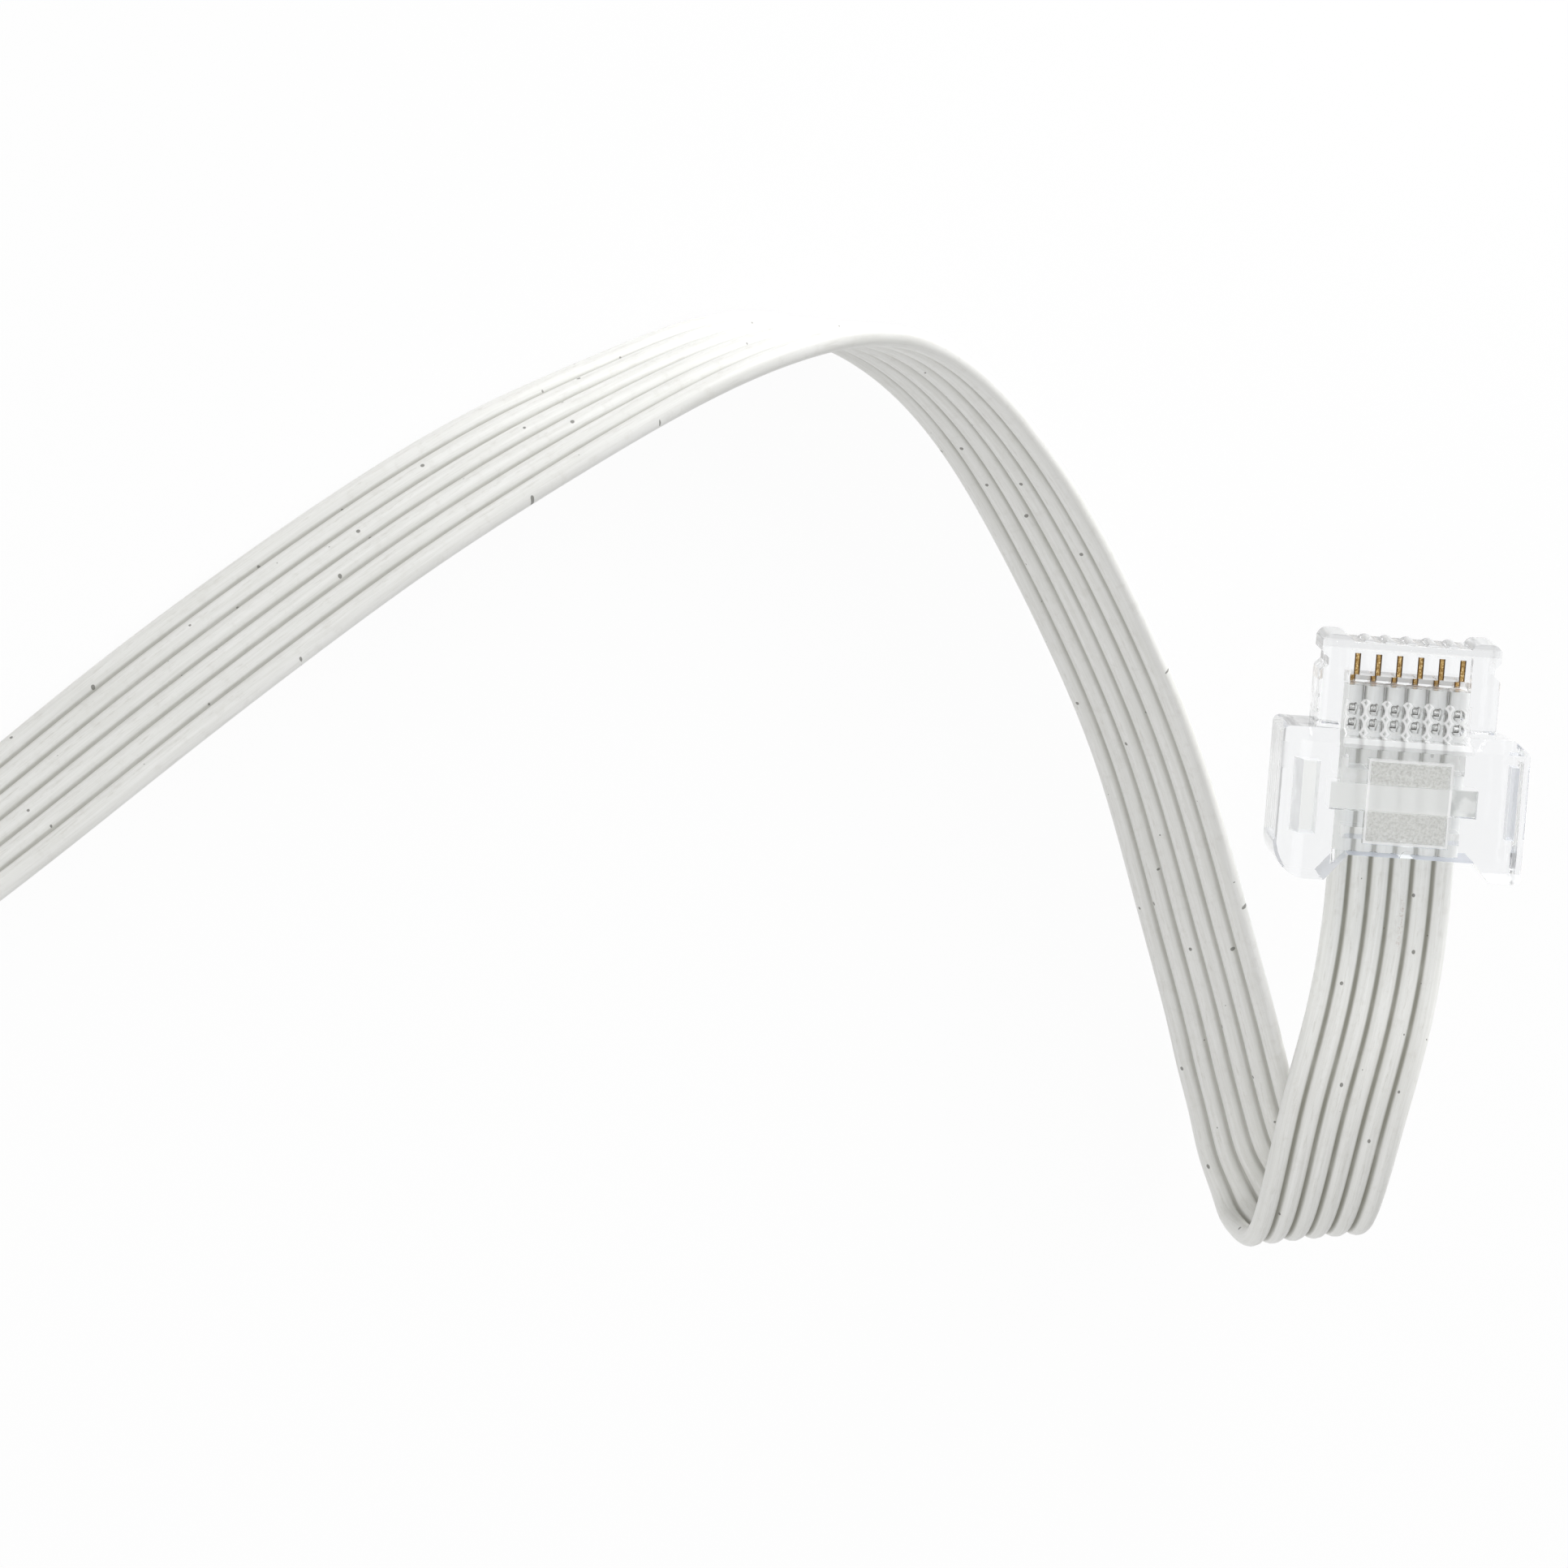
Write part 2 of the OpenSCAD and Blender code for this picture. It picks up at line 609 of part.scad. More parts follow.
// ---- pieces in place ----
clear = [0.88, 0.91, 0.93, 0.6];
grey = [0.86, 0.86, 0.84];
gold = [0.83, 0.62, 0.25];
copper = [0.72, 0.42, 0.25];

module near_housing() {
    color(clear) placed(near_frame) housing();
}

module near_clamp() {
    color(clear) placed(near_frame) clamp();
}

module near_ribbon_end() {
    color(grey) placed(near_frame) ribbon_end();
}

module near_contact(i) {
    color(gold) placed(near_frame) contact(i);
}

module near_core(i) {
    color(copper) placed(near_frame) core(i);
}

module cable_run() {
    color(grey) sweep(spline_frames(route, lean, run_rings), run_section);
}

module cable_coil() {
    color(grey) sweep(coil_frames, coil_section);
}

module cable_tail() {
    color(grey) sweep(spline_frames(tail_points, tail_edges, tail_rings), run_section);
}

module far_housing() {
    color(clear) placed(far_frame) housing();
}

module far_clamp() {
    color(clear) placed(far_frame) clamp();
}

module far_ribbon_end() {
    color(grey) placed(far_frame) ribbon_end();
}

module far_contact(i) {
    color(gold) placed(far_frame) contact(i);
}

module far_core(i) {
    color(copper) placed(far_frame) core(i);
}

near_housing();
near_clamp();
near_ribbon_end();
near_contact(1);  // near_contact_1
near_contact(2);  // near_contact_2
near_contact(3);  // near_contact_3
near_contact(4);  // near_contact_4
near_contact(5);  // near_contact_5
near_contact(6);  // near_contact_6
near_core(1);  // near_core_1
near_core(2);  // near_core_2
near_core(3);  // near_core_3
near_core(4);  // near_core_4
near_core(5);  // near_core_5
near_core(6);  // near_core_6
cable_run();
cable_coil();
cable_tail();
far_housing();
far_clamp();
far_ribbon_end();
far_contact(1);  // far_contact_1
far_contact(2);  // far_contact_2
far_contact(3);  // far_contact_3
far_contact(4);  // far_contact_4
far_contact(5);  // far_contact_5
far_contact(6);  // far_contact_6
far_core(1);  // far_core_1
far_core(2);  // far_core_2
far_core(3);  // far_core_3
far_core(4);  // far_core_4
far_core(5);  // far_core_5
far_core(6);  // far_core_6
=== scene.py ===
import math

import bpy
import numpy as np
from mathutils import Matrix, Vector


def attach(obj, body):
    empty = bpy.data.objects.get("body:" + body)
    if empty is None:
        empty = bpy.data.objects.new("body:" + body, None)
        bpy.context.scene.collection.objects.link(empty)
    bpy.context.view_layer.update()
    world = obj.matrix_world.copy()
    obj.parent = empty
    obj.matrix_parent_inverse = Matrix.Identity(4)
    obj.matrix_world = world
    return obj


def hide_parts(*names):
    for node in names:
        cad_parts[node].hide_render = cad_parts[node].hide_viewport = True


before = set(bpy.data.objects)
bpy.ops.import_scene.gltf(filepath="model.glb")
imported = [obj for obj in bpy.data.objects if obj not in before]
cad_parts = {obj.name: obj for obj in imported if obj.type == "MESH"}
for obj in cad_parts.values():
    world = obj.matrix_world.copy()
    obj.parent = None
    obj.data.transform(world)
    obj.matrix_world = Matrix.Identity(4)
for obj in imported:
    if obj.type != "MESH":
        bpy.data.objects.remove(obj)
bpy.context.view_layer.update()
MM = 0.001

# ---------------------------------------------------------------- sizes, as in the CAD model (mm)
# The ribbon
WAYS = 6
PITCH = 1.27
ROD_R = 0.625
WEB_T = 0.5
RIBBON_W = (WAYS - 1) * PITCH + 2 * ROD_R
# The coil that is put away, and the straight leads before and after it
COIL_TURNS = 3
COIL_R = 43.0
COIL_STEP = 3.2
LEAD_OUT = 8.0
LEAD_IN = 4.0
# A plug, in its own frame: x across the ribbon, y towards the nose, z towards the contacts' side,
# with the origin at the middle of the ribbon where that enters the housing
BODY_W = 14.9
BODY_L = 7.4
BODY_T = 8.0
FACE_Z = BODY_T / 2
NOSE_L = 5.2
TIP_Y = BODY_L + NOSE_L
WINDOW_W = 7.3
TIP_BAR = 0.45
WINDOW_END = TIP_Y - TIP_BAR
WIRE_L = 10.0
SIGHT_FRONT = 6.4
RECESS_BACK = 0.4
RECESS_Y = BODY_L - RECESS_BACK
GATE_X = 0.5
SLOT_X = 6.55
POCKET_X = -5.65
# The clamp's pad and bar
PAD_X = 0.3
PAD_W = 5.1
PAD_Y = 0.75
PAD_Z = 3.85
PAD_MARGIN = 0.16
BAR_Y = 2.7
BAR_L = 1.6
# The contacts' blades and tines, and the pits over the tines
BLADE_T = 0.3
TINE_Y = 7.65
TINE_GAP = 0.9
PIT_R = 0.5

# ---------------------------------------------------------------- how fine the scene's forms are
# Distances from one ring of the ribbon to the next, in millimetres
RUN_SPACING = 0.5
TAIL_SPACING = 0.6
# Counts
RINGS_PER_TURN = 160
SAMPLES_PER_POINT = 40
FACES_PER_ARC = 8
# The rounding of a housing's edges: its width in millimetres, and from which angle, in degrees
EDGE_ROUNDING = 0.08
EDGE_SEGMENTS = 2
ROUNDED_FROM = 35

# ---------------------------------------------------------------- places on the ribbon (mm)
# Ranges along it, counted from a plug, and across it, counted from its middle.
GROOVED_ACROSS = (3.0, 3.3)
GROOVES_NARROW_ALONG = (40.0, 110.0)
GROOVES_FADE_ALONG = (26.0, 32.0)
SMUDGE_ALONG = (2.6, 6.0)
SMUDGE_ACROSS = (0.75, 1.0)
UNDER_SIGHT_ALONG = (4.9, 6.6)
# A groove's reach to each side, near the plug and far from it, and the share of its painted shade
# there
GROOVE_REACH = (0.22, 0.17)
GROOVE_SHADE = (0.93, 0.56)
# Specks: cells per millimetre, the lot from which a cell has one, and the radii in cells
SPECK_CELLS = 0.42
SPECKLED_FROM = 0.45
SPECK_RADIUS = (0.01, 0.045)

# ---------------------------------------------------------------- places on a plug (mm)
# Where it looks other than clear: ranges on the plug's own axes, and radii about a pit's axis.
PLATED_Y = (WIRE_L + 0.1, WIRE_L + 0.4)
TIP_HAZE_Y = (TIP_Y - 0.4, TIP_Y + 0.15)
HAZE_X = (-3.95, PAD_X - PAD_W / 2)
HAZE_Y = (4.3, 5.9)
LIP_X = (-3.3, 4.9)
LIP_Y = (-0.06, 0.06)
GATE_NOTCH_X = (GATE_X - 0.4, GATE_X + 0.4)
SKIRT_X = (5.0, 5.2)
SKIRT_END_Y = (-0.9, -0.8)
MOUTH_SLOPE_X = (-6.6, -3.0)
MOUTH_SLOPE_Y = (-0.1, 0.1)
SLOT_HOLLOW_X = (SLOT_X - 0.27, SLOT_X + 0.28)
SLOT_HOLLOW_Y = (1.4, 6.2)
SLOT_HOLLOW_Z = (1.6, 3.8)
SLOT_EDGE_X = (SLOT_X + 0.19, SLOT_X + 0.29)
SLOT_EDGE_Z = (FACE_Z - 0.15, FACE_Z - 0.08)
SIDE_X = (BODY_W / 2 - 0.15, BODY_W / 2 - 0.1)
SIDE_FADES_Y = (0.5, 2.0)
POCKET_FLOOR_X = (POCKET_X - 0.65, POCKET_X + 0.65)
POCKET_FLOOR_Z = (1.7, 1.9)
POCKET_WALL_X = (POCKET_X - 0.95, POCKET_X + 0.75)
POCKET_WALL_Y = (1.0, 6.5)
POCKET_WALL_Z = (1.6, 1.8)
BRIDGE_X = (-RIBBON_W / 2 - 0.1, RIBBON_W / 2 + 0.1)
BRIDGE_Y = (SIGHT_FRONT + 0.04, RECESS_Y - 0.02)
BRIDGE_Z = (3.2, 3.4)
CLOUD_Z = (FACE_Z - 0.2, FACE_Z - 0.05)
RIBS_Y = (TIP_Y + 0.02, TIP_Y + 0.1)
TIP_BAR_Y = (TIP_Y - 0.35, TIP_Y + 0.1)
TIP_BAR_Z = (2.1, 2.3)
WINDOW_X = (-WINDOW_W / 2 - 0.01, WINDOW_W / 2 + 0.01)
WINDOW_EDGE_Y = (WINDOW_END - 0.05, WINDOW_END + 0.09)
WINDOW_EDGE_Z = (1.5, 1.6)
WELL_Y = (WIRE_L - 0.05, WIRE_L + 0.62)
WELL_Z = (1.2, 1.4)
PITS_X = (-RIBBON_W / 2, RIBBON_W / 2)
PITS_Y = (RECESS_Y - 0.01, 9.2)
PIT_RIM_R = (PIT_R + 0.03, PIT_R + 0.2)
PIT_RIM_Z = (1.7, 1.8)
PIT_WALL_R = (PIT_R - 0.12, PIT_R + 0.12)
PASSAGE_X = (-RIBBON_W / 2 - 0.1, RIBBON_W / 2 + 0.1)
PASSAGE_Y = (0.02, WIRE_L + 0.1)
PASSAGE_Z = (-0.7, 0.7)

# ---------------------------------------------------------------- camera (m)
CAMERA_PLACE = (-0.34444, 0.08944, 0.41978)
CAMERA_RIGHT = (0.7316, 0.1521, 0.6645)
CAMERA_UP = (0.0, 0.9748, -0.2231)
CAMERA_BACK = (-0.6817, 0.1632, 0.7132)
SENSOR_MM = 36.0
LENS_MM = 233.66
NEAREST = 0.05
FARTHEST = 10.0

# ---------------------------------------------------------------- light and stage (m, W)
# The world's light; how bright it is in reflections overhead and at the horizon; and the heights
# between which that changes, as sines of the angle above the horizon
WORLD_LIGHT = 0.6
CEILING = 0.6
CEILING_HEIGHT = (0.45, 0.85)
HORIZON = 0.55
HORIZON_HEIGHT = (0.1, 0.4)
# The share of the floor's white that doesn't depend on the lamps, half its side and its height
FLOOR_GLOW = 0.94
FLOOR_HALF = 1.6
FLOOR_Z = -0.0001
LIGHTS_AIM = (0.06, 0.0, 0.0)
# name: (place, side of its square, power)
LIGHTS = {
    "key": ((0.80, 0.60, 0.14), 0.5, 7.0),
    "fill": ((-0.70, -0.30, 0.40), 0.8, 2.0),
    "top": ((0.12, 0.16, 0.07), 0.08, 0.15),
}

# ---------------------------------------------------------------- colours (linear)
WHITE = (1, 1, 1, 1)
FLOOR_COLOUR = (0.9, 0.9, 0.9, 1)
PVC_GREY = (0.755, 0.755, 0.727, 1)
PVC_PALE = (0.83, 0.83, 0.81, 1)
PVC_STREAK = (0.62, 0.61, 0.57, 1)
PVC_MOTTLE = (0.60, 0.585, 0.54, 1)
PVC_RUBBED = (0.50, 0.48, 0.43, 1)
PVC_SMUDGE = (0.42, 0.30, 0.25, 1)
# painted shade in the grooves
PVC_GROOVE_SHADE = (0.25, 0.245, 0.20, 1)
PVC_SPECK = (0.10, 0.095, 0.08, 1)
# painted light and painted shade, for the stretch inside a plug
PVC_PAINTED_LIGHT = (0.95, 0.95, 0.94, 1)
PVC_SHADED = (0.30, 0.30, 0.28, 1)
CLEAR_PLASTIC = (0.93, 0.937, 0.945, 1)
MATTE_PLASTIC = (0.8, 0.8, 0.8, 1)
LAMPLIGHT_THROUGH = (0.985, 0.99, 0.995, 1)
CLAMP_CLEAR = (0.93, 0.935, 0.935, 1)
CLAMP_GRAIN = (0.86, 0.862, 0.84, 1)
CLAMP_SPOTS = (0.62, 0.62, 0.59, 1)
CLAMP_MILKY = (0.88, 0.885, 0.87, 1)
CLAMP_SHADED = (0.62, 0.63, 0.62, 1)
CLAMP_RIM = (0.98, 0.98, 0.98, 1)
# the first and the last gold here are painted shade, as in the recess
GOLD_SHADED = (0.34, 0.19, 0.06, 1)
GOLD = (0.66, 0.45, 0.18, 1)
GOLD_BRIGHT = (1.0, 0.80, 0.45, 1)
GOLD_SHADED_EDGE = (0.12, 0.06, 0.02, 1)
NICKEL_DULL = (0.70, 0.70, 0.69, 1)
NICKEL = (0.97, 0.97, 0.96, 1)
COPPER_DARK = (0.45, 0.22, 0.12, 1)
COPPER = (0.80, 0.45, 0.28, 1)

# ---------------------------------------------------------------- routes (mm)
# ROUTE is the middle line from the picture's left to the near plug, and LEAN the way across the
# ribbon at the same points. The tail's points start at the coil's inner end and turn with it.
ROUTE = [
    [-33.4, -29.1, 3.8], [-25.8, -23.6, 3.8], [-18.1, -18.2, 3.9], [-10.4, -12.8, 3.7],
    [-2.8, -7.4, 3.6], [4.8, -1.8, 3.5], [12.6, 3.5, 3.5], [20.4, 8.6, 3.6],
    [28.6, 13.3, 3.8], [37.1, 17.1, 3.8], [45.9, 20.7, 3.9], [55.4, 20.9, 3.8],
    [63.9, 16, 3.8], [70.7, 9.8, 3.7], [77.1, 2.7, 3.8], [82.9, -4.6, 3.8],
    [87.8, -12.8, 3.7], [92.2, -20.2, 3.8], [93.9, -23.3, 3.7], [95.3, -25.9, 3.9],
    [96.3, -28.4, 4.3], [98, -30.1, 4.5], [98.2, -31.8, 5.7], [97, -32.5, 8.6],
    [96, -31.5, 10.4], [95.7, -28, 11.2], [96, -24, 11.3], [97.7, -19.2, 10.6],
    [99.7, -14.2, 8.9], [99.6, -8.8, 8.4]]
LEAN = [
    [0, 0, 1], [0, 0, 1], [0.05, -0.1, 1], [0.2, -0.25, 0.95],
    [0.25, -0.35, 0.9], [0.3, -0.4, 0.9], [0.25, -0.4, 0.9], [0.2, -0.35, 0.9],
    [0.15, -0.35, 0.9], [0.05, -0.15, 1], [0, -0.1, 1], [0.05, 0.3, 0.95],
    [0.15, 0.15, 0.95], [0.2, 0.2, 0.95], [0.2, 0.2, 0.95], [0.2, 0.15, 0.95],
    [0.25, 0.15, 0.95], [0.25, 0.15, 0.95], [0.3, 0.15, 0.95], [0.25, 0.2, 0.95],
    [0.3, 0.25, 0.85], [0.55, 0.3, 0.7], [0.75, 0.3, 0.55], [0.85, 0.25, 0.45],
    [0.9, 0.1, 0.45], [0.85, 0, 0.55], [0.75, -0.05, 0.65], [0.75, 0, 0.65],
    [0.77, 0.09, 0.64], [0.77, 0.09, 0.64]]
TAIL_ROUTE = [
    [0, 0, 0], [3, 0, 0], [6.5, -1.2, 0], [10, -4, 0], [12.5, -8, 0], [13.2, -12.5, 0],
    [12.5, -17.5, 0], [11, -23, -0.3], [9.4, -28.5, -0.9], [7.8, -34, -0.6],
    [6.4, -38, 0], [5.2, -42, 0]]
TAIL_LEAN = [
    [0, 0, 1], [0, 0, 1], [0, 0, 1], [0, 0, 1], [0, 0, 1], [0, 0, 1],
    [-0.15, 0, 1], [-0.5, 0.15, 0.85], [-0.8, 0.2, 0.5], [-0.95, 0.3, 0.15],
    [-0.96, 0.29, 0], [-0.96, 0.29, 0]]
# The point from which the tail goes over to the far plug's height, and within how many points
TAIL_RISES_FROM = 5
TAIL_RISES_OVER = 5


# ---------------------------------------------------------------- camera
def add_camera():
    """The photograph's camera."""
    turn = Matrix((CAMERA_RIGHT, CAMERA_UP, CAMERA_BACK)).transposed().to_4x4()
    data = bpy.data.cameras.new("camera")
    data.sensor_width = SENSOR_MM
    data.lens = LENS_MM
    data.clip_start = NEAREST
    data.clip_end = FARTHEST
    camera = bpy.data.objects.new("camera", data)
    camera.matrix_world = Matrix.Translation(Vector(CAMERA_PLACE)) @ turn
    bpy.context.scene.collection.objects.link(camera)
    bpy.context.scene.camera = camera


# ---------------------------------------------------------------- the ribbon's route
# A route is held as frames: points, the way across, the way through and the way along.
def unit(v):
    v = np.asarray(v, float)
    return v / np.linalg.norm(v, axis=-1, keepdims=True)


def spline(points, n):
    """Points and slopes of a uniform cubic B-spline. Its ends are reflected, so it reaches them."""
    c = np.asarray(points, float)
    c = np.vstack([2 * c[0] - c[1], c, 2 * c[-1] - c[-2]])
    t = np.linspace(0, len(points) - 1, n)
    i = np.minimum(t.astype(int), len(points) - 2)
    f = (t - i)[:, None]
    p = (
        (1 - f) ** 3 * c[i] + (3 * f**3 - 6 * f**2 + 4) * c[i + 1]
        + (3 * f + 3 * f**2 - 3 * f**3 + 1) * c[i + 2] + f**3 * c[i + 3]
    ) / 6
    d = (
        -((1 - f) ** 2) * c[i] + (3 * f**2 - 4 * f) * c[i + 1]
        + (1 + 2 * f - 3 * f**2) * c[i + 2] + f**2 * c[i + 3]
    ) / 2
    return p, d


def frames(p, heading, edge):
    """Frames along the headings, with the edges turned square to them."""
    t = unit(heading)
    w = unit(edge - np.sum(edge * t, axis=1, keepdims=True) * t)
    return p, w, np.cross(t, w), t


def arc_length(p):
    return np.concatenate([[0], np.cumsum(np.linalg.norm(np.diff(p, axis=0), axis=1))])


def even(points, edges, spacing):
    """Frames along a route at an even spacing."""
    n = SAMPLES_PER_POINT * len(points)
    p, d = spline(points, n)
    e, _ = spline(edges, n)
    arc = arc_length(p)
    at = np.linspace(0, arc[-1], max(2, int(round(arc[-1] / spacing)) + 1))

    def pick(a):
        return np.stack([np.interp(at, arc, a[:, k]) for k in range(3)], axis=1)

    return frames(pick(p), pick(d), pick(e))


def coil_frames(start, heading):
    """Frames of a straight lead, of the turns that wind inwards, and of a lead at their end."""
    tilt = math.atan(COIL_STEP / (2 * math.pi * COIL_R))
    angle = math.atan2(heading[1], heading[0]) + math.pi / 2 + tilt
    outwards = np.array([math.cos(angle), math.sin(angle), 0])
    middle = start + LEAD_OUT * heading - COIL_R * outwards
    turn = np.linspace(0, COIL_TURNS, RINGS_PER_TURN * COIL_TURNS + 1)
    a = angle - 2 * math.pi * turn
    r = COIL_R - COIL_STEP * turn
    p = middle + np.stack([r * np.cos(a), r * np.sin(a), 0 * a], axis=1)
    k = COIL_STEP / (2 * math.pi * r)
    d = unit(np.stack([np.sin(a) - k * np.cos(a), -np.cos(a) - k * np.sin(a), 0 * a], axis=1))
    p = np.vstack([start, p, p[-1] + LEAD_IN * d[-1]])
    d = np.vstack([heading, d, d[-1]])
    return frames(p, d, np.tile([0.0, 0.0, 1.0], (len(p), 1)))


def whole_route():
    """Frames from the near plug along the run, the coil and the tail to the far plug."""
    run = even(ROUTE, LEAN, RUN_SPACING)
    start = run[0][0]
    coil = coil_frames(start, -run[3][0])
    # the tail goes on from the coil's inner end, and over to the far plug's height
    up = np.array([0, 0, 1.0])
    ahead = coil[3][-1]
    place = np.array([ahead, np.cross(up, ahead), up])
    points = coil[0][-1] + np.asarray(TAIL_ROUTE, float) @ place
    share = np.clip((np.arange(len(points)) - TAIL_RISES_FROM) / TAIL_RISES_OVER, 0, 1)
    points[:, 2] += (BODY_T / 2 - start[2]) * share
    tail = even(points, np.asarray(TAIL_LEAN, float) @ place, TAIL_SPACING)
    # the run's points lead to the near plug, so it is turned round
    run = [a[::-1] for a in run]
    run[2], run[3] = -run[2], -run[3]
    return [np.vstack([a, b[1:], c[1:]]) for a, b, c in zip(run, coil, tail)]


def rod_outline():
    """The ribbon's section, rods joined by thin webs, as (across, through) points in turn."""
    web = math.asin(WEB_T / 2 / ROD_R)
    upper = []
    for i in range(WAYS):
        x = ((WAYS - 1) / 2 - i) * PITCH
        first = 0.0 if i == 0 else web
        last = math.pi if i == WAYS - 1 else math.pi - web
        for k in range(FACES_PER_ARC + 1):
            a = first + (last - first) * k / FACES_PER_ARC
            upper.append((x + ROD_R * math.cos(a), ROD_R * math.sin(a)))
    lower = [(-x, -y) for x, y in upper]
    return np.array(upper[:-1] + lower[:-1])


def ribbon_mesh(name, p, w, s, outline):
    """The ribbon as one closed skin, with a UV map of the metres along it and across it."""
    rings, n = len(p), len(outline)
    across = outline[None, :, :1] * w[:, None, :]
    through = outline[None, :, 1:] * s[:, None, :]
    co = (p[:, None, :] + across + through) * MM
    faces = []
    for k in range(rings - 1):
        a, b = k * n, (k + 1) * n
        for j in range(n):
            faces.append((a + j, a + (j + 1) % n, b + (j + 1) % n, b + j))
    faces.append(tuple(range(n - 1, -1, -1)))
    faces.append(tuple(range((rings - 1) * n, rings * n)))
    mesh = bpy.data.meshes.new(name)
    mesh.from_pydata(co.reshape(-1, 3).tolist(), [], faces)
    uv = mesh.uv_layers.new(name="along")
    loops = np.zeros((len(mesh.loops), 2))
    vertex = np.zeros(len(mesh.loops), int)
    mesh.loops.foreach_get("vertex_index", vertex)
    loops[:, 0] = arc_length(p)[vertex // n] * MM
    loops[:, 1] = outline[vertex % n, 0] * MM
    uv.data.foreach_set("uv", loops.ravel())
    mesh.shade_smooth()
    obj = bpy.data.objects.new(name, mesh)
    bpy.context.scene.collection.objects.link(obj)
    return obj


# ---------------------------------------------------------------- node helpers
# A value is a number, a tuple or another node's output.
def material(name):
    m = bpy.data.materials.new(name)
    m.use_nodes = True
    m.node_tree.nodes.clear()
    return m, m.node_tree


def surface(tree, shader, kind="ShaderNodeOutputMaterial"):
    tree.links.new(shader, tree.nodes.new(kind).inputs["Surface"])


def feed(tree, socket, value):
    if isinstance(value, bpy.types.NodeSocket):
        tree.links.new(value, socket)
    else:
        socket.default_value = value


def node(tree, kind, **inputs):
    """A node with its inputs fed by name, where an underscore stands for a space."""
    n = tree.nodes.new(kind)
    for name, value in inputs.items():
        feed(tree, n.inputs[name.replace("_", " ")], value)
    return n


def principled(tree, **inputs):
    return node(tree, "ShaderNodeBsdfPrincipled", **inputs).outputs["BSDF"]


def mixed(tree, factor, a, b):
    """Shader b over shader a, by a factor from 0 to 1."""
    n = tree.nodes.new("ShaderNodeMixShader")
    for socket, value in zip(n.inputs, (factor, a, b)):
        feed(tree, socket, value)
    return n.outputs[0]


def calc(tree, operation, a, b=0.0):
    n = tree.nodes.new("ShaderNodeMath")
    n.operation = operation
    feed(tree, n.inputs[0], a)
    feed(tree, n.inputs[1], b)
    return n.outputs[0]


def chain(tree, operation, first, *others):
    for value in others:
        first = calc(tree, operation, first, value)
    return first


def product(tree, *values):
    return chain(tree, "MULTIPLY", *values)


def total(tree, *values):
    return chain(tree, "ADD", *values)


def largest(tree, *values):
    return chain(tree, "MAXIMUM", *values)


def from_nearest(tree, value, spacing):
    """The distance to the nearest of the places at 0, one spacing, two spacings and so on."""
    return calc(tree, "PINGPONG", value, spacing / 2)


def step(tree, value, low, high, first=0.0, last=1.0):
    """A smooth step from first, at low, to last, at high."""
    n = tree.nodes.new("ShaderNodeMapRange")
    n.interpolation_type = "SMOOTHSTEP"
    names = ("Value", "From Min", "From Max", "To Min", "To Max")
    for name, its_value in zip(names, (value, low, high, first, last)):
        feed(tree, n.inputs[name], its_value)
    return n.outputs["Result"]


def between(tree, value, low, high, soft):
    """1 between two values and 0 outside, with soft edges."""
    rise = step(tree, value, low - soft, low + soft)
    fall = step(tree, value, high - soft, high + soft, 1.0, 0.0)
    return product(tree, rise, fall)


def blend(tree, factor, a, b):
    """Colour b over colour a, by a factor from 0 to 1."""
    n = tree.nodes.new("ShaderNodeMix")
    n.data_type = "RGBA"
    feed(tree, n.inputs["Factor"], factor)
    feed(tree, n.inputs["A"], a)
    feed(tree, n.inputs["B"], b)
    return n.outputs["Result"]


def noise(tree, vector, scale, detail=2.0, roughness=0.5, distortion=0.0):
    n = node(tree, "ShaderNodeTexNoise", Vector=vector, Scale=scale, Detail=detail,
             Roughness=roughness, Distortion=distortion)
    return n.outputs["Fac"]


def flat_cells(tree, vector, scale):
    """Cells in the plane, each with a dot's place and a colour of its own."""
    cells = tree.nodes.new("ShaderNodeTexVoronoi")
    cells.voronoi_dimensions = "2D"
    feed(tree, cells.inputs["Vector"], vector)
    feed(tree, cells.inputs["Scale"], scale)
    return cells


def xyz(tree, x, y, z):
    return node(tree, "ShaderNodeCombineXYZ", X=x, Y=y, Z=z).outputs[0]


def split(tree, vector):
    return node(tree, "ShaderNodeSeparateXYZ", Vector=vector).outputs


def bumped(tree, height, strength, depth):
    """A normal for bumps of a depth in millimetres."""
    n = node(tree, "ShaderNodeBump", Height=height, Strength=strength, Distance=depth * MM)
    return n.outputs["Normal"]


def facing(tree, way):
    """How squarely a face looks along a direction, or against it, from 0 to 1."""
    geometry = tree.nodes.new("ShaderNodeNewGeometry")
    dot = tree.nodes.new("ShaderNodeVectorMath")
    dot.operation = "DOT_PRODUCT"
    feed(tree, dot.inputs[0], geometry.outputs["True Normal"])
    feed(tree, dot.inputs[1], tuple(float(v) for v in way))
    return calc(tree, "ABSOLUTE", dot.outputs["Value"])


def in_millimetres(tree, place=None):
    """The piece's own coordinates in millimetres, in a plug's frame where one is given."""
    coord = tree.nodes.new("ShaderNodeTexCoord")
    move = node(tree, "ShaderNodeMapping", Vector=coord.outputs["Object"], Scale=(1 / MM,) * 3)
    if place is not None:
        origin, x, y = (Vector(v) for v in place)
        turn = Matrix((x, y, x.cross(y)))
        move.inputs["Rotation"].default_value = turn.to_euler()
        move.inputs["Location"].default_value = -(turn @ origin)
    return move.outputs["Vector"]


def along_and_across(tree):
    """Millimetres along the ribbon and across it, from its UV map."""
    uv = tree.nodes.new("ShaderNodeUVMap")
    uv.uv_map = "along"
    along, across, _ = split(tree, uv.outputs["UV"])
    return product(tree, along, 1 / MM), product(tree, across, 1 / MM)


